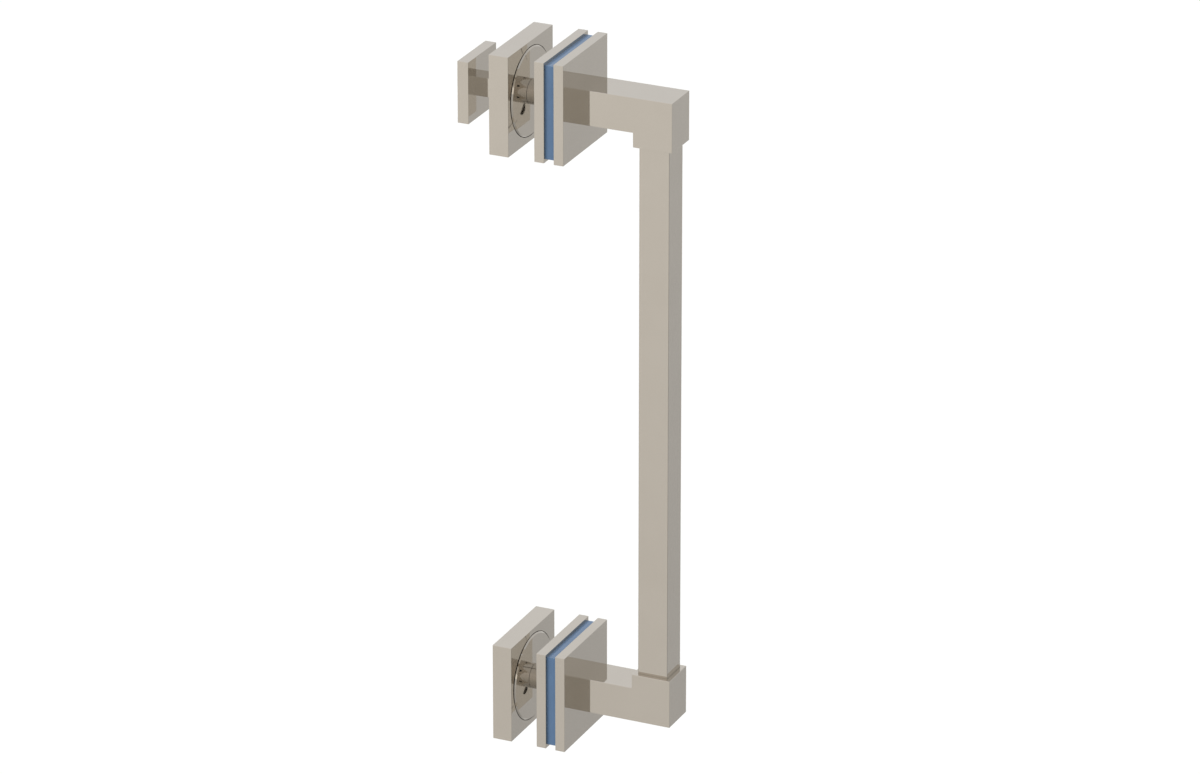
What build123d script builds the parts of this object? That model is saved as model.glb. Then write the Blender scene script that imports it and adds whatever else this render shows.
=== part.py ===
from build123d import *
import os

os.makedirs("parts", exist_ok=True)

# Shower door handle for a glass door, in millimetres.
# A square grip bar stands on two arms. Each arm is clamped through a hole in the glass by a stack of square
# plates, and the upper mount carries a small square knob on the back of the door.
# X runs out of the glass on the pull side, Y runs along the door and Z is up. The origin is on the pull side
# face of the glass, midway between the two door holes.

# Door
hole_pitch = 304.8
glass_thickness = 12.0

# Edges and fits
edge_break = 0.15
thread_clearance = 0.05
hole_clearance = 0.25
thread_end_clearance = 0.5
key_sides = 6

# Square plates on the pull side, with the coloured accent between them
plate_side = 50.0
accent_thickness = 5.0
outer_plate_thickness = 5.0
accent_inset = 1.6

# Round clamp discs, let into the inner plate and the back plate: both stand proud and bear on the glass
disc_proud = 0.7
disc_chamfer = 0.6
pull_rim_wall = 2.5
pull_disc_clearance = 0.7
pull_disc_thickness = 2.5
back_rim_wall = 2.65
back_disc_clearance = 0.35
back_disc_thickness = 5.0

# Cap screws that hold the three plates together
plate_screw_rows = 2
plate_screw_diameter = 3.0
plate_screw_head_diameter = 5.5
plate_screw_head_height = 2.0
plate_screw_key = 2.0
plate_screw_key_depth = 1.0
plate_screw_offset = 0.6
plate_screw_disc_gap = 0.1
counterbore_clearance = 0.35
counterbore_floor = 1.1
outer_plate_floor = 1.5

# Back plate
back_plate_thickness = 10.0

# Set screw in the lower edge of the back plate, which bears on the clamp disc
cover_screw_diameter = 3.0
cover_screw_key = 1.5
cover_screw_key_depth = 1.2
cover_screw_sink = 0.2
cover_screw_tip_clearance = 0.05

# Post through the glass, which seats in a shallow pocket in each clamp disc
post_diameter = 12.5
post_seat_depth = 0.6
post_seat_clearance = 0.05
post_end_chamfer = 0.5
clamp_clearance = 0.2
post_pull_thread_depth = 5.0
post_back_thread_depth = 4.5

# Studs
pull_stud_diameter = 8.0
back_stud_diameter = 6.0
stud_chamfer = 0.6

# Arms, with a square socket in the elbow for the grip bar
arm_reach = 49.0
arm_height = 17.5
arm_thread_depth = 12.0
stub_length = 7.25
socket_wall = 2.2
socket_clearance = 0.1
socket_depth = 18.0

# Grip bar
bar_side = 15.4
bar_end_clearance = 0.1

# Set screw in the door side of each elbow, which enters a drilled seat in the bar
bar_screw_diameter = 4.0
bar_screw_key = 2.0
bar_screw_key_depth = 1.6
bar_screw_sink = 0.3
bar_screw_seat_depth = 2.0
bar_screw_tip_clearance = 0.1

# Knob on the back of the upper mount
knob_side = 31.0
knob_thickness = 5.7
knob_post_side = 9.5
knob_post_length = 15.2
knob_thread_depth = 9.0

# Inner plate: the disc's recess and the sunk screw heads, one below the other, over a floor
pull_recess_depth = pull_disc_thickness - disc_proud
counterbore_depth = pull_recess_depth + plate_screw_disc_gap + plate_screw_head_height
inner_plate_thickness = counterbore_depth + counterbore_floor

# Stations along X
inner_plate_x = disc_proud
accent_x = inner_plate_x + inner_plate_thickness
outer_plate_x = accent_x + accent_thickness
arm_x = outer_plate_x + outer_plate_thickness
arm_end_x = arm_x + arm_reach
elbow_side = bar_side + 2 * (socket_clearance + socket_wall)
stub_x = arm_end_x - elbow_side
bar_x = arm_end_x - elbow_side / 2
back_disc_x = -glass_thickness
back_plate_x = back_disc_x - disc_proud
knob_x = back_plate_x - back_plate_thickness

# Clamp discs and their recesses
pull_recess_radius = plate_side / 2 - pull_rim_wall
pull_disc_radius = pull_recess_radius - pull_disc_clearance
back_recess_radius = plate_side / 2 - back_rim_wall
back_recess_depth = back_disc_thickness - disc_proud
back_disc_radius = back_recess_radius - back_disc_clearance

# Post and studs
post_radius = post_diameter / 2
post_seat_radius = post_radius + post_seat_clearance
post_pull_end_x = post_seat_depth
post_back_end_x = back_disc_x - post_seat_depth + clamp_clearance
post_length = post_pull_end_x - post_back_end_x
pull_stud_radius = pull_stud_diameter / 2
pull_thread_radius = pull_stud_radius + thread_clearance
pull_stud_hole_radius = pull_stud_radius + hole_clearance
pull_stud_start_x = post_pull_end_x - post_pull_thread_depth + thread_end_clearance
pull_stud_end_x = arm_x + arm_thread_depth - thread_end_clearance
back_stud_radius = back_stud_diameter / 2
back_thread_radius = back_stud_radius + thread_clearance
back_stud_hole_radius = back_stud_radius + hole_clearance
back_stud_start_x = post_back_end_x + post_back_thread_depth - thread_end_clearance
back_stud_knob_x = knob_x - knob_thread_depth + thread_end_clearance
back_stud_plain_x = back_disc_x - back_disc_thickness + thread_clearance

# Plate screws: their axes stand just outside the round recess, on the plate's diagonals, so each counterbore
# opens into the recess and the clamp disc lies over the inner part of each head and keeps the screws in
plate_screw_radius = plate_screw_diameter / 2
plate_screw_hole_radius = plate_screw_radius + hole_clearance
plate_screw_thread_radius = plate_screw_radius + thread_clearance
plate_screw_head_radius = plate_screw_head_diameter / 2
counterbore_radius = plate_screw_head_radius + counterbore_clearance
plate_screw_pitch = (pull_recess_radius + plate_screw_offset) * 2**0.5
plate_screw_grid = (plate_screw_pitch, plate_screw_pitch, plate_screw_rows, plate_screw_rows)
outer_thread_depth = outer_plate_thickness - outer_plate_floor
plate_screw_shank_x = inner_plate_x + counterbore_depth
plate_screw_head_x = plate_screw_shank_x - plate_screw_head_height
plate_screw_end_x = outer_plate_x + outer_thread_depth - thread_end_clearance

# Set screws
cover_screw_radius = cover_screw_diameter / 2
cover_screw_x = back_plate_x - back_recess_depth / 2
cover_screw_length = back_rim_wall + back_disc_clearance - cover_screw_sink - cover_screw_tip_clearance
bar_screw_radius = bar_screw_diameter / 2
bar_screw_hole_radius = bar_screw_radius + thread_clearance
bar_screw_z = (arm_height + stub_length) / 2
bar_face_x = bar_x - bar_side / 2
bar_screw_start_x = stub_x + bar_screw_sink
bar_screw_end_x = bar_face_x + bar_screw_seat_depth - bar_screw_tip_clearance

# Grip bar
socket_side = bar_side + 2 * socket_clearance
bar_end_z = hole_pitch / 2 - arm_height / 2 - stub_length + socket_depth - bar_end_clearance

# The two mounts: name, height of the door hole, direction of the other mount, whether it carries the knob
mounts = (
    ("upper", hole_pitch / 2, -1, True),
    ("lower", -hole_pitch / 2, 1, False),
)


def facing(x, height, direction):
    """A plane parallel to the door at x, centred at this height, that looks along +X (1) or -X (-1)."""
    return Plane(origin=(x, 0, height), x_dir=(0, 1, 0), z_dir=(direction, 0, 0))


def save(piece, label):
    """Labels a finished piece and writes it to its own file."""
    piece.part.label = label
    export_step(piece.part, f"parts/{label}.step")


def make_arm(name, height, inward):
    """L-shaped arm, with a socket in its stub and a tapped base that is left sharp against the plate."""
    outer_z = -inward * arm_height / 2
    inner_z = inward * arm_height / 2
    stub_z = inward * (arm_height / 2 + stub_length)
    with BuildPart() as arm:
        with BuildSketch(Plane(origin=(0, 0, height), x_dir=(1, 0, 0), z_dir=(0, -1, 0))):
            with BuildLine():
                Polyline(
                    (arm_x, outer_z),
                    (arm_end_x, outer_z),
                    (arm_end_x, stub_z),
                    (stub_x, stub_z),
                    (stub_x, inner_z),
                    (arm_x, inner_z),
                    close=True,
                )
            make_face()
        extrude(amount=elbow_side / 2, both=True)
        fillet(arm.edges() - arm.faces().sort_by(Axis.X)[0].edges(), edge_break)
        with BuildSketch(Plane(origin=(bar_x, 0, height + stub_z), z_dir=(0, 0, -inward))):
            Rectangle(socket_side, socket_side)
        extrude(amount=socket_depth, mode=Mode.SUBTRACT)
        with Locations(facing(arm_x, height, -1)):
            Hole(pull_thread_radius, arm_thread_depth)
        with Locations(facing(stub_x, height + inward * bar_screw_z, -1)):
            Hole(bar_screw_hole_radius, socket_wall + socket_clearance)
    save(arm, f"{name}_arm")


def make_outer_plate(name, height):
    """Outer square plate, with blind tapped holes for the plate screws."""
    with BuildPart() as plate:
        with BuildSketch(facing(outer_plate_x, height, 1)):
            Rectangle(plate_side, plate_side)
        extrude(amount=outer_plate_thickness)
        fillet(plate.edges(), edge_break)
        with Locations(facing(outer_plate_x, height, -1)):
            Hole(pull_stud_hole_radius)
            with GridLocations(*plate_screw_grid):
                Hole(plate_screw_thread_radius, outer_thread_depth)
    save(plate, f"{name}_outer_plate")


def make_accent(name, height):
    """Coloured square between the two plates, set in from their edges."""
    accent_side = plate_side - 2 * accent_inset
    with BuildPart() as accent:
        with BuildSketch(facing(accent_x, height, 1)):
            Rectangle(accent_side, accent_side)
        extrude(amount=accent_thickness)
        fillet(accent.edges().filter_by(Axis.X), edge_break)
        with Locations(facing(accent_x, height, -1)):
            Hole(pull_stud_hole_radius)
            with GridLocations(*plate_screw_grid):
                Hole(plate_screw_hole_radius)
    save(accent, f"{name}_accent")


def make_inner_plate(name, height):
    """Inner square plate, with the round recess and the counterbores in its glass side."""
    with BuildPart() as plate:
        with BuildSketch(facing(inner_plate_x, height, 1)):
            Rectangle(plate_side, plate_side)
        extrude(amount=inner_plate_thickness)
        fillet(plate.edges(), edge_break)
        with BuildSketch(facing(inner_plate_x, height, 1)):
            Circle(pull_recess_radius)
        extrude(amount=pull_recess_depth, mode=Mode.SUBTRACT)
        with Locations(facing(inner_plate_x, height, -1)):
            Hole(pull_stud_hole_radius)
            with GridLocations(*plate_screw_grid):
                CounterBoreHole(plate_screw_hole_radius, counterbore_radius, counterbore_depth)
    save(plate, f"{name}_inner_plate")


def make_plate_screws(name, height):
    """Four socket cap screws, sunk in the inner plate and tapped into the outer plate."""
    with BuildPart() as screws:
        with BuildSketch(facing(plate_screw_head_x, height, 1)):
            with GridLocations(*plate_screw_grid):
                Circle(plate_screw_head_radius)
        extrude(amount=plate_screw_head_height)
        with BuildSketch(facing(plate_screw_shank_x, height, 1)):
            with GridLocations(*plate_screw_grid):
                Circle(plate_screw_radius)
        extrude(amount=plate_screw_end_x - plate_screw_shank_x)
        with BuildSketch(facing(plate_screw_head_x, height, 1)):
            with GridLocations(*plate_screw_grid):
                RegularPolygon(plate_screw_key / 2, key_sides, major_radius=False)
        extrude(amount=plate_screw_key_depth, mode=Mode.SUBTRACT)
    save(screws, f"{name}_plate_screws")


def make_pull_disc(name, height):
    """Tapped disc in the inner plate, which draws the plates against the arm and bears on the glass."""
    with BuildPart() as disc:
        with BuildSketch(facing(0, height, 1)):
            Circle(pull_disc_radius)
        extrude(amount=pull_disc_thickness)
        glass_edge, plate_edge = disc.edges().filter_by(GeomType.CIRCLE).sort_by(Axis.X)
        chamfer(glass_edge, disc_chamfer)
        fillet(plate_edge, edge_break)
        with Locations(facing(0, height, -1)):
            CounterBoreHole(pull_thread_radius, post_seat_radius, post_seat_depth)
    save(disc, f"{name}_pull_disc")


def make_through_post(name, height):
    """Turned post that passes through the glass, tapped from both ends."""
    with BuildPart() as post:
        with BuildSketch(facing(post_back_end_x, height, 1)):
            Circle(post_radius)
        extrude(amount=post_length)
        chamfer(post.edges(), post_end_chamfer)
        with Locations(facing(post_pull_end_x, height, 1)):
            Hole(pull_thread_radius, post_pull_thread_depth)
        with Locations(facing(post_back_end_x, height, -1)):
            Hole(back_thread_radius, post_back_thread_depth)
    save(post, f"{name}_through_post")


def make_pull_stud(name, height):
    """Threaded stud from the arm through the plates and the pull disc into the post."""
    with BuildPart() as stud:
        with BuildSketch(facing(pull_stud_start_x, height, 1)):
            Circle(pull_stud_radius)
        extrude(amount=pull_stud_end_x - pull_stud_start_x)
        chamfer(stud.edges(), stud_chamfer)
    save(stud, f"{name}_pull_stud")


def make_back_stud(name, height, carries_knob):
    """Threaded stud from the post through the back disc, and on into the knob where there is one."""
    end_x = back_stud_knob_x if carries_knob else back_stud_plain_x
    with BuildPart() as stud:
        with BuildSketch(facing(back_stud_start_x, height, -1)):
            Circle(back_stud_radius)
        extrude(amount=back_stud_start_x - end_x)
        chamfer(stud.edges(), stud_chamfer)
    save(stud, f"{name}_back_stud")


def make_back_disc(name, height):
    """Tapped disc in the back plate, which clamps the glass from behind and stands proud of the plate."""
    with BuildPart() as disc:
        with BuildSketch(facing(back_disc_x, height, -1)):
            Circle(back_disc_radius)
        extrude(amount=back_disc_thickness)
        plate_edge, glass_edge = disc.edges().filter_by(GeomType.CIRCLE).sort_by(Axis.X)
        chamfer(glass_edge, disc_chamfer)
        fillet(plate_edge, edge_break)
        with Locations(facing(back_disc_x, height, 1)):
            CounterBoreHole(back_thread_radius, post_seat_radius, post_seat_depth)
    save(disc, f"{name}_back_disc")


def make_back_plate(name, height, carries_knob):
    """Thick square cover over the back disc, open behind only where the knob's stud comes through."""
    with BuildPart() as plate:
        with BuildSketch(facing(back_plate_x, height, -1)):
            Rectangle(plate_side, plate_side)
        extrude(amount=back_plate_thickness)
        fillet(plate.edges(), edge_break)
        with BuildSketch(facing(back_plate_x, height, -1)):
            Circle(back_recess_radius)
        extrude(amount=back_recess_depth, mode=Mode.SUBTRACT)
        with Locations(Plane(origin=(cover_screw_x, 0, height - plate_side / 2), z_dir=(0, 0, -1))):
            Hole(cover_screw_radius + thread_clearance, plate_side / 2 - back_disc_radius)
        if carries_knob:
            with Locations(facing(knob_x, height, -1)):
                Hole(back_stud_hole_radius)
    save(plate, f"{name}_back_plate")


def make_cover_screw(name, height):
    """Set screw in the lower edge of the back plate."""
    start_z = height - plate_side / 2 + cover_screw_sink
    with BuildPart() as screw:
        with BuildSketch(Plane(origin=(cover_screw_x, 0, start_z))):
            Circle(cover_screw_radius)
        extrude(amount=cover_screw_length)
        with BuildSketch(Plane(origin=(cover_screw_x, 0, start_z))):
            RegularPolygon(cover_screw_key / 2, key_sides, major_radius=False)
        extrude(amount=cover_screw_key_depth, mode=Mode.SUBTRACT)
    save(screw, f"{name}_cover_screw")


def make_bar_screw(name, height, inward):
    """Set screw in the door side of the elbow, which pins the grip bar in its socket."""
    screw_z = height + inward * bar_screw_z
    with BuildPart() as screw:
        with BuildSketch(facing(bar_screw_start_x, screw_z, 1)):
            Circle(bar_screw_radius)
        extrude(amount=bar_screw_end_x - bar_screw_start_x)
        with BuildSketch(facing(bar_screw_start_x, screw_z, 1)):
            RegularPolygon(bar_screw_key / 2, key_sides, major_radius=False)
        extrude(amount=bar_screw_key_depth, mode=Mode.SUBTRACT)
    save(screw, f"{name}_bar_screw")


def make_grip_bar():
    """Square bar between the elbows, spot-drilled near each end for its set screw."""
    with BuildPart() as bar:
        with BuildSketch(Plane(origin=(bar_x, 0, -bar_end_z))):
            Rectangle(bar_side, bar_side)
        extrude(amount=2 * bar_end_z)
        fillet(bar.edges(), edge_break)
        for name, height, inward, carries_knob in mounts:
            with Locations(facing(bar_face_x, height + inward * bar_screw_z, -1)):
                Hole(bar_screw_hole_radius, bar_screw_seat_depth)
    save(bar, "grip_bar")


def make_knob(height):
    """Square knob and its square post in one piece, tapped for the stud."""
    with BuildPart() as knob:
        with BuildSketch(facing(knob_x - knob_post_length, height, -1)):
            Rectangle(knob_side, knob_side)
        extrude(amount=knob_thickness)
        fillet(knob.edges(), edge_break)
        with BuildSketch(facing(knob_x, height, -1)):
            RectangleRounded(knob_post_side, knob_post_side, edge_break)
        extrude(amount=knob_post_length)
        with Locations(facing(knob_x, height, 1)):
            Hole(back_thread_radius, knob_thread_depth)
    save(knob, "knob")


for name, height, inward, carries_knob in mounts:
    make_arm(name, height, inward)
    make_outer_plate(name, height)
    make_accent(name, height)
    make_inner_plate(name, height)
    make_plate_screws(name, height)
    make_pull_disc(name, height)
    make_through_post(name, height)
    make_pull_stud(name, height)
    make_back_stud(name, height, carries_knob)
    make_back_disc(name, height)
    make_back_plate(name, height, carries_knob)
    make_cover_screw(name, height)
    make_bar_screw(name, height, inward)
    if carries_knob:
        make_knob(height)
make_grip_bar()
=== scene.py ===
import math

import bpy
from mathutils import Matrix, Vector

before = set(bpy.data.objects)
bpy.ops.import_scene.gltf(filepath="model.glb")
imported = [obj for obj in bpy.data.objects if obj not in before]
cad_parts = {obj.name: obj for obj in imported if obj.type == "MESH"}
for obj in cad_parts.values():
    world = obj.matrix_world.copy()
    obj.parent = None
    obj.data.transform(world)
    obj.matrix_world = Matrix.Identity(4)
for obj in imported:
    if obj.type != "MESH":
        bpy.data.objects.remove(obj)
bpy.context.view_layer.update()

# Everything is in metres: X runs out of the glass on the pull side, Y along the door, Z up.
scene = bpy.context.scene

# Shared values: all white, the whole reach of a direction along an axis, and a mask that fades out
WHITE = (1.0, 1.0, 1.0)
WHOLE_AXIS = (-1.0, 1.0)
FADE_OUT = (1.0, 0.0)

# Camera: azimuth, elevation, distance and side steps of the photograph's view. Lens and sensor are in mm.
CAMERA_AZIMUTH = math.radians(24.467)
CAMERA_ELEVATION = math.radians(22.891)
CAMERA_DISTANCE = 3.2664
CAMERA_TARGET_X = 0.0007
CAMERA_RIGHT = 0.020511
CAMERA_UP = 0.002849
CAMERA_LENS = 204.225
CAMERA_SENSOR = 36.0
CAMERA_CLIP_START = 0.1
CAMERA_CLIP_END = 200.0

# Light that falls on the object: an even sky and two broad suns
AMBIENT = 0.75
KEY_STRENGTH = 1.3
KEY_ANGLE = math.radians(45)
KEY_FROM = Vector((-0.35, -0.60, 0.75))
FILL_STRENGTH = 0.30
FILL_ANGLE = math.radians(60)
FILL_FROM = Vector((0.75, 0.25, 0.60))
SUN_DISTANCE = 4.0

# Sky that the metal mirrors. Sides are along X and heights along Z of its direction, both from -1 to 1.
SKY_COLOR = (0.995, 1.0, 1.02)
SKY_FRONT_COLOR = (1.132, 1.092, 1.077)
SKY_FRONT_HALF = (-1.0, 0.0)
SKY_LEFT_TO_RIGHT = (1.09, 0.715)
SKY_HEIGHTS = (0.30, 0.48)
SKY_LOW_TO_HIGH = (0.955, 1.06)
SKY_CORNER_HEIGHTS = (0.46, 0.58)
SKY_CORNER_SIDES = (0.0, 0.5)
SKY_CORNER_LOSS = 0.12

# Softbox in that sky. Its rim is where it begins and where it is full, as cosines from its middle.
SOFTBOX_TOWARD = (0.934, -0.325, 0.152)
SOFTBOX_RIM = (0.94, 0.985)
SOFTBOX_GAIN = 0.42
SOFTBOX_COLOR = (1.0, 0.86, 0.65)

# Floor: the door's foot is far under the handle, so the floor is too
FLOOR_Z = -1.0
FLOOR_HALF = 60.0
FLOOR_COLOR = (0.80, 0.80, 0.795)
FLOOR_GLOW = 0.13

# Floor that the metal mirrors: it darkens to the right, more so behind, and lightens with its reach
FLOOR_LEVEL = 0.852
FLOOR_SLOPE_FRONT_TO_BACK = (-0.273, -0.442)
FLOOR_SIDES = (-0.7, 0.7)
FLOOR_REACHES = (0.5, 4.0)
FLOOR_NEAR_TO_FAR = (0.80, 1.07)
FLOOR_LEAST_REACH = 0.01
FLOOR_FRONT_COLOR = (1.018, 0.997, 0.968)
FLOOR_BACK_COLOR = WHITE


class Tree:
    """A node tree with short calls: each makes a node and returns its first output, or the one named."""

    # The mix node's sockets for colours, which share their names with those for numbers and vectors
    MIX_A = 6
    MIX_B = 7
    MIX_RESULT = 2

    # How far a rounded normal leaves the true one, as cosines, where an edge begins and where it is full
    EDGE_TURN = (0.995, 0.90)
    EDGE_SAMPLES = 6
    BAR_EDGE_TURN = (0.97, 0.80)
    BAR_EDGE_SAMPLES = 8

    def __init__(self, tree):
        self.nodes = tree.nodes
        self.links = tree.links
        self.nodes.clear()

    def add(self, kind, out=0, inputs=None, **settings):
        node = self.nodes.new(kind)
        for key, value in settings.items():
            setattr(node, key, value)
        for key, value in (inputs or {}).items():
            self.put(node.inputs[key], value)
        return node.outputs[out] if out is not None else node

    def put(self, socket, value):
        if isinstance(value, bpy.types.NodeSocket):
            self.links.new(value, socket)
        elif socket.type == "RGBA":
            socket.default_value = (*value, 1.0)
        else:
            socket.default_value = value

    def math(self, operation, a, b):
        return self.add("ShaderNodeMath", inputs={0: a, 1: b}, operation=operation)

    def times(self, a, b):
        return self.math("MULTIPLY", a, b)

    def total(self, first, *others):
        result = first
        for other in others:
            result = self.math("ADD", result, other)
        return result

    def vector_math(self, operation, a, b=None, out=0):
        inputs = {0: a} if b is None else {0: a, 1: b}
        return self.add("ShaderNodeVectorMath", out=out, inputs=inputs, operation=operation)

    def axes(self, vector):
        """The vector's parts, which are read by the names X, Y and Z."""
        return self.add("ShaderNodeSeparateXYZ", out=None, inputs={0: vector}).outputs

    def noise(self, vector, scale, detail, roughness):
        inputs = {"Vector": vector, "Scale": scale, "Detail": detail, "Roughness": roughness}
        return self.add("ShaderNodeTexNoise", inputs=inputs)

    def stretched(self, vector, scale):
        return self.add("ShaderNodeMapping", inputs={"Vector": vector, "Scale": scale})

    def span(self, value, ends, levels=(0.0, 1.0), smooth=False):
        """The first level at the first end and the second at the second, and held beyond both."""
        inputs = {
            "Value": value,
            "From Min": ends[0],
            "From Max": ends[1],
            "To Min": levels[0],
            "To Max": levels[1],
        }
        kind = "SMOOTHSTEP" if smooth else "LINEAR"
        return self.add("ShaderNodeMapRange", inputs=inputs, interpolation_type=kind)

    def mix(self, factor, a, b):
        inputs = {"Factor": factor, self.MIX_A: a, self.MIX_B: b}
        return self.add("ShaderNodeMix", out=self.MIX_RESULT, inputs=inputs, data_type="RGBA")

    def bump(self, height, strength, distance):
        inputs = {"Strength": strength, "Distance": distance, "Height": height}
        return self.add("ShaderNodeBump", inputs=inputs)

    def rounded_normal(self, radius, samples):
        return self.add("ShaderNodeBevel", inputs={"Radius": radius}, samples=samples)

    def edge_mask(self, radius):
        """1 along the piece's edges and 0 on its flats, from how a rounded normal leaves the true one."""
        rounded = self.rounded_normal(radius, self.EDGE_SAMPLES)
        true = self.add("ShaderNodeNewGeometry", out="True Normal")
        same = self.vector_math("DOT_PRODUCT", rounded, true, out="Value")
        return self.span(same, self.EDGE_TURN)

    def bar_edge_painted_reflection_mask(self, radius):
        """1 on the upright square bar's long edges, from how a rounded normal leaves X or Y; it places the
        bar's painted dark edge reflection.
        """
        rounded = self.rounded_normal(radius, self.BAR_EDGE_SAMPLES)
        axes = self.axes(self.vector_math("ABSOLUTE", rounded))
        nearer = self.math("MAXIMUM", axes["X"], axes["Y"])
        return self.span(nearer, self.BAR_EDGE_TURN)

    def ray_kinds(self):
        """Two masks: rays off a mirror or through glass, and those with the camera's own rays."""
        path = self.add("ShaderNodeLightPath", out=None).outputs
        mirrored = self.math("MAXIMUM", path["Is Glossy Ray"], path["Is Transmission Ray"])
        shown = self.math("MAXIMUM", path["Is Camera Ray"], mirrored)
        return mirrored, shown

    def background(self, color, strength):
        return self.add("ShaderNodeBackground", inputs={"Color": color, "Strength": strength})

    def emission(self, color, strength):
        return self.add("ShaderNodeEmission", inputs={"Color": color, "Strength": strength})

    def either(self, mask, off, on):
        """The first shader where the mask is 0, and the second where it is 1."""
        return self.add("ShaderNodeMixShader", inputs={0: mask, 1: off, 2: on})

    def both(self, a, b):
        return self.add("ShaderNodeAddShader", inputs={0: a, 1: b})


def new_material(name):
    material = bpy.data.materials.new(name)
    material.use_nodes = True
    return material, Tree(material.node_tree)


def finish_material(tree, inputs):
    shader = tree.add("ShaderNodeBsdfPrincipled", inputs=inputs)
    tree.add("ShaderNodeOutputMaterial", out=None, inputs={"Surface": shader})


# Colours are linear light. A noise is its scale, detail and roughness, and a bump its strength and distance.
# A noise counts between its two ends, and a pair of roughnesses is what it gives at them.

# Polished nickel
NICKEL = (0.524, 0.486, 0.428)
NICKEL_SMUDGED = (0.512, 0.474, 0.416)
NICKEL_EDGE = (0.548, 0.512, 0.456)
NICKEL_EDGE_SHARE = 0.35
# Painted dark reflection along the square bar's long edges, given as a darker base colour
NICKEL_BAR_EDGE_PAINTED_REFLECTION = (0.275, 0.255, 0.223)
NICKEL_MIRROR_SHARE = 0.96
NICKEL_EDGE_WIDTH = 0.0006
NICKEL_EDGE_ROUGHNESS = 0.045
SMUDGE_NOISE = (42.0, 4.0, 0.55)
SMUDGE_ENDS = (0.35, 0.70)
SMUDGE_ROUGHNESS = (0.022, 0.048)
MIST_NOISE = (460.0, 3.0, 0.6)
MIST_ENDS = (0.35, 0.65)
MIST_ROUGHNESS = (0.0, 0.012)
MIST_HEIGHT = 0.65
HAIRLINE_NOISE = (1.0, 2.0, 0.6)
HAIRLINE_ENDS = (0.60, 0.78)
HAIRLINE_ROUGHNESS = (0.0, 0.026)
HAIRLINE_HEIGHT = 0.35
HAIRLINE_ACROSS = 7000.0
HAIRLINE_ALONG = 140.0
NICKEL_BUMP = (0.02, 0.00002)


def nickel_material(name, grain, paint_bar_edge_reflection=False):
    """Polished nickel: a mirror with faint smudges, fine mist, hairlines along its grain and softer edges.

    The drawn square bar also has a darker line along each long edge: a painted dark reflection.
    """
    material, tree = new_material(name)
    place = tree.add("ShaderNodeTexCoord", out="Object")
    smudge = tree.noise(place, *SMUDGE_NOISE)
    mist = tree.noise(place, *MIST_NOISE)
    hairline = tree.noise(tree.stretched(place, grain), *HAIRLINE_NOISE)
    edge = tree.edge_mask(NICKEL_EDGE_WIDTH)
    color = tree.mix(tree.span(smudge, SMUDGE_ENDS), NICKEL, NICKEL_SMUDGED)
    color = tree.mix(tree.times(edge, NICKEL_EDGE_SHARE), color, NICKEL_EDGE)
    if paint_bar_edge_reflection:
        # Painted dark reflection: the bar's long edges get a darker base colour
        color = tree.mix(tree.bar_edge_painted_reflection_mask(NICKEL_EDGE_WIDTH), color, NICKEL_BAR_EDGE_PAINTED_REFLECTION)
    rough = tree.total(
        tree.span(smudge, SMUDGE_ENDS, SMUDGE_ROUGHNESS),
        tree.span(mist, MIST_ENDS, MIST_ROUGHNESS),
        tree.span(hairline, HAIRLINE_ENDS, HAIRLINE_ROUGHNESS),
        tree.times(edge, NICKEL_EDGE_ROUGHNESS),
    )
    height = tree.total(tree.times(hairline, HAIRLINE_HEIGHT), tree.times(mist, MIST_HEIGHT))
    finish_material(tree, {
        "Base Color": color,
        "Metallic": NICKEL_MIRROR_SHARE,
        "Roughness": rough,
        "Normal": tree.bump(height, *NICKEL_BUMP),
    })
    return material


# Blue resin of the accents
ACCENT = (0.091, 0.175, 0.310)
ACCENT_CLOUD = (0.082, 0.160, 0.288)
ACCENT_EDGE = (0.110, 0.200, 0.340)
ACCENT_EDGE_SHARE = 0.7
ACCENT_EDGE_WIDTH = 0.0005
ACCENT_EDGE_ROUGHNESS = 0.15
ACCENT_IOR = 1.5
ACCENT_CLOUD_NOISE = (90.0, 4.0, 0.6)
ACCENT_CLOUD_ENDS = (0.35, 0.68)
ACCENT_ROUGH_ENDS = (0.3, 0.7)
ACCENT_ROUGHNESS = (0.10, 0.18)
ACCENT_RIPPLE_NOISE = (1500.0, 2.0, 0.5)
ACCENT_BUMP = (0.05, 0.00003)


def accent_material(name):
    """Glossy blue resin with a trace of clouding, fine ripples, and lighter and duller edges."""
    material, tree = new_material(name)
    place = tree.add("ShaderNodeTexCoord", out="Object")
    cloud = tree.noise(place, *ACCENT_CLOUD_NOISE)
    ripple = tree.noise(place, *ACCENT_RIPPLE_NOISE)
    edge = tree.edge_mask(ACCENT_EDGE_WIDTH)
    color = tree.mix(tree.span(cloud, ACCENT_CLOUD_ENDS), ACCENT, ACCENT_CLOUD)
    color = tree.mix(tree.times(edge, ACCENT_EDGE_SHARE), color, ACCENT_EDGE)
    finish_material(tree, {
        "Base Color": color,
        "Roughness": tree.total(
            tree.span(cloud, ACCENT_ROUGH_ENDS, ACCENT_ROUGHNESS),
            tree.times(edge, ACCENT_EDGE_ROUGHNESS),
        ),
        "IOR": ACCENT_IOR,
        "Normal": tree.bump(ripple, *ACCENT_BUMP),
    })
    return material


# Steel of the screws and studs
STEEL = (0.42, 0.42, 0.425)
STEEL_DARK = (0.33, 0.33, 0.34)
STEEL_EDGE_WIDTH = 0.0003
STEEL_EDGE_ROUGHNESS = -0.08
STEEL_CLOUD_NOISE = (700.0, 4.0, 0.6)
STEEL_CLOUD_ENDS = (0.35, 0.70)
STEEL_GRAIN = (9000.0, 1400.0, 1400.0)
STEEL_LINE_NOISE = (1.0, 2.0, 0.6)
STEEL_LINE_ENDS = (0.3, 0.7)
STEEL_LINE_ROUGHNESS = (0.26, 0.40)
STEEL_BUMP = (0.15, 0.00002)


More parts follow.
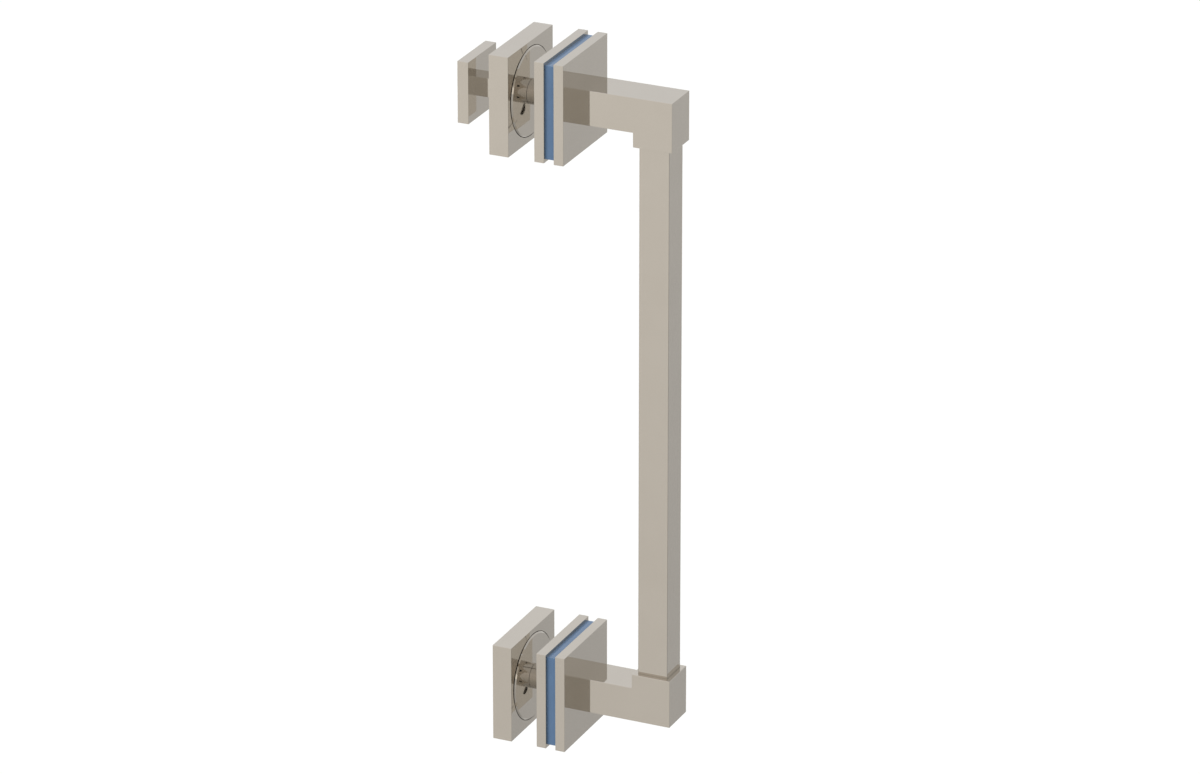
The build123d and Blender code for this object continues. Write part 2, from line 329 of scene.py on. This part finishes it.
def steel_material(name):
    """Turned steel of the screws and studs: fine turning lines, darker patches and smoother edges."""
    material, tree = new_material(name)
    place = tree.add("ShaderNodeTexCoord", out="Object")
    lines = tree.noise(tree.stretched(place, STEEL_GRAIN), *STEEL_LINE_NOISE)
    cloud = tree.noise(place, *STEEL_CLOUD_NOISE)
    edge = tree.edge_mask(STEEL_EDGE_WIDTH)
    finish_material(tree, {
        "Base Color": tree.mix(tree.span(cloud, STEEL_CLOUD_ENDS), STEEL, STEEL_DARK),
        "Metallic": 1.0,
        "Roughness": tree.total(
            tree.span(lines, STEEL_LINE_ENDS, STEEL_LINE_ROUGHNESS),
            tree.times(edge, STEEL_EDGE_ROUGHNESS),
        ),
        "Normal": tree.bump(lines, *STEEL_BUMP),
    })
    return material


def dress_nodes():
    """Gives each CAD node its finish. Hairlines run up the bar, across the plates and along X elsewhere."""
    across, along = HAIRLINE_ACROSS, HAIRLINE_ALONG
    nickel_x = nickel_material("nickel_polished_x", (along, across, across))
    nickel_y = nickel_material("nickel_polished_y", (across, along, across))
    # The bar's nickel also paints a dark reflection along its long edges
    nickel_bar = nickel_material("nickel_polished_z", (across, across, along), paint_bar_edge_reflection=True)
    accent = accent_material("accent_blue_resin")
    steel = steel_material("fastener_steel")
    for name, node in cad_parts.items():
        if name.endswith("_accent"):
            chosen = accent
        elif name.endswith(("_stud", "_screw", "_screws")):
            chosen = steel
        elif name == "grip_bar":
            chosen = nickel_bar
        elif name.endswith("_plate"):
            chosen = nickel_y
        else:
            chosen = nickel_x
        for slot in node.material_slots:
            slot.material = chosen


def sky_strength(tree, axes):
    """Brighter to the left and above, and a little darker again high on the right."""
    by_side = tree.span(axes["X"], WHOLE_AXIS, SKY_LEFT_TO_RIGHT)
    by_height = tree.span(axes["Z"], SKY_HEIGHTS, SKY_LOW_TO_HIGH)
    high = tree.span(axes["Z"], SKY_CORNER_HEIGHTS)
    right = tree.span(axes["X"], SKY_CORNER_SIDES, (0.0, SKY_CORNER_LOSS))
    off_corner = tree.math("SUBTRACT", 1.0, tree.times(high, right))
    return tree.times(tree.times(by_side, by_height), off_corner)


def make_world():
    """White to the camera, an even light on the object, and a sky with a warm softbox in its mirrors."""
    world = bpy.data.worlds.new("studio")
    scene.world = world
    world.use_nodes = True
    tree = Tree(world.node_tree)
    mirrored, shown = tree.ray_kinds()
    toward = tree.add("ShaderNodeTexCoord", out="Generated")
    axes = tree.axes(toward)
    sky_color = tree.mix(tree.span(axes["Y"], SKY_FRONT_HALF, FADE_OUT), SKY_COLOR, SKY_FRONT_COLOR)
    sky = tree.background(sky_color, sky_strength(tree, axes))
    facing_box = tree.vector_math("DOT_PRODUCT", toward, SOFTBOX_TOWARD, out="Value")
    box_strength = tree.span(facing_box, SOFTBOX_RIM, (0.0, SOFTBOX_GAIN), smooth=True)
    studio = tree.both(sky, tree.background(SOFTBOX_COLOR, box_strength))
    seen = tree.either(mirrored, tree.background(WHITE, 1.0), studio)
    surface = tree.either(shown, tree.background(WHITE, AMBIENT), seen)
    tree.add("ShaderNodeOutputWorld", out=None, inputs={"Surface": surface})


def floor_in_mirrors(tree):
    """The floor as the metal mirrors it. Its tint and level follow the place's direction and distance."""
    axes = tree.axes(tree.add("ShaderNodeNewGeometry", out="Position"))
    flat = tree.add("ShaderNodeCombineXYZ", inputs={0: axes["X"], 1: axes["Y"]})
    reach = tree.vector_math("LENGTH", flat, out="Value")
    some_reach = tree.math("MAXIMUM", reach, FLOOR_LEAST_REACH)
    side = tree.math("DIVIDE", axes["X"], some_reach)
    depth = tree.math("DIVIDE", axes["Y"], some_reach)
    slope = tree.span(depth, WHOLE_AXIS, FLOOR_SLOPE_FRONT_TO_BACK)
    by_side = tree.total(tree.times(tree.span(side, FLOOR_SIDES, FLOOR_SIDES), slope), FLOOR_LEVEL)
    by_reach = tree.span(reach, FLOOR_REACHES, FLOOR_NEAR_TO_FAR)
    tint = tree.mix(tree.span(depth, WHOLE_AXIS), FLOOR_FRONT_COLOR, FLOOR_BACK_COLOR)
    return tree.emission(tint, tree.times(by_side, by_reach))


def floor_material(name):
    """Pale and plain. It glows just enough to be white to the camera, and has its own tones in mirrors."""
    material, tree = new_material(name)
    mirrored, shown = tree.ray_kinds()
    diffuse = tree.add("ShaderNodeBsdfDiffuse", inputs={"Color": FLOOR_COLOR})
    pale = tree.both(diffuse, tree.emission(WHITE, tree.times(shown, FLOOR_GLOW)))
    surface = tree.either(mirrored, pale, floor_in_mirrors(tree))
    tree.add("ShaderNodeOutputMaterial", out=None, inputs={"Surface": surface})
    return material


def make_floor():
    """One large square, which keeps the object's shadow."""
    half = FLOOR_HALF
    corners = [(-half, -half), (half, -half), (half, half), (-half, half)]
    mesh = bpy.data.meshes.new("studio_floor")
    mesh.from_pydata([(x, y, FLOOR_Z) for x, y in corners], [], [(0, 1, 2, 3)])
    mesh.materials.append(floor_material("pale_floor"))
    floor = bpy.data.objects.new("studio_floor", mesh)
    scene.collection.objects.link(floor)


def make_sun(name, strength, angle, towards_light):
    """A broad sun that lights the object and doesn't show in its mirrors."""
    light = bpy.data.lights.new(name, "SUN")
    light.energy = strength
    light.angle = angle
    lamp = bpy.data.objects.new(name, light)
    lamp.rotation_mode = "QUATERNION"
    lamp.rotation_quaternion = towards_light.to_track_quat("Z", "Y")
    lamp.location = towards_light * SUN_DISTANCE
    lamp.visible_glossy = False
    scene.collection.objects.link(lamp)


def make_camera():
    """The photograph's camera, as it was fitted to the corners of the handle."""
    az, el = CAMERA_AZIMUTH, CAMERA_ELEVATION
    back = Vector((math.sin(az) * math.cos(el), -math.cos(az) * math.cos(el), math.sin(el)))
    right = Vector((math.cos(az), math.sin(az), 0.0))
    up = back.cross(right)
    data = bpy.data.cameras.new("camera")
    data.sensor_width = CAMERA_SENSOR
    data.sensor_fit = "HORIZONTAL"
    data.lens = CAMERA_LENS
    data.clip_start = CAMERA_CLIP_START
    data.clip_end = CAMERA_CLIP_END
    camera = bpy.data.objects.new("camera", data)
    camera.rotation_mode = "QUATERNION"
    camera.rotation_quaternion = Matrix((right, up, back)).transposed().to_quaternion()
    from_target = back * CAMERA_DISTANCE + right * CAMERA_RIGHT + up * CAMERA_UP
    camera.location = from_target + Vector((CAMERA_TARGET_X, 0.0, 0.0))
    scene.collection.objects.link(camera)
    scene.camera = camera


scene.view_settings.view_transform = "Standard"
make_camera()
make_world()
make_floor()
make_sun("key", KEY_STRENGTH, KEY_ANGLE, KEY_FROM)
make_sun("fill", FILL_STRENGTH, FILL_ANGLE, FILL_FROM)
dress_nodes()
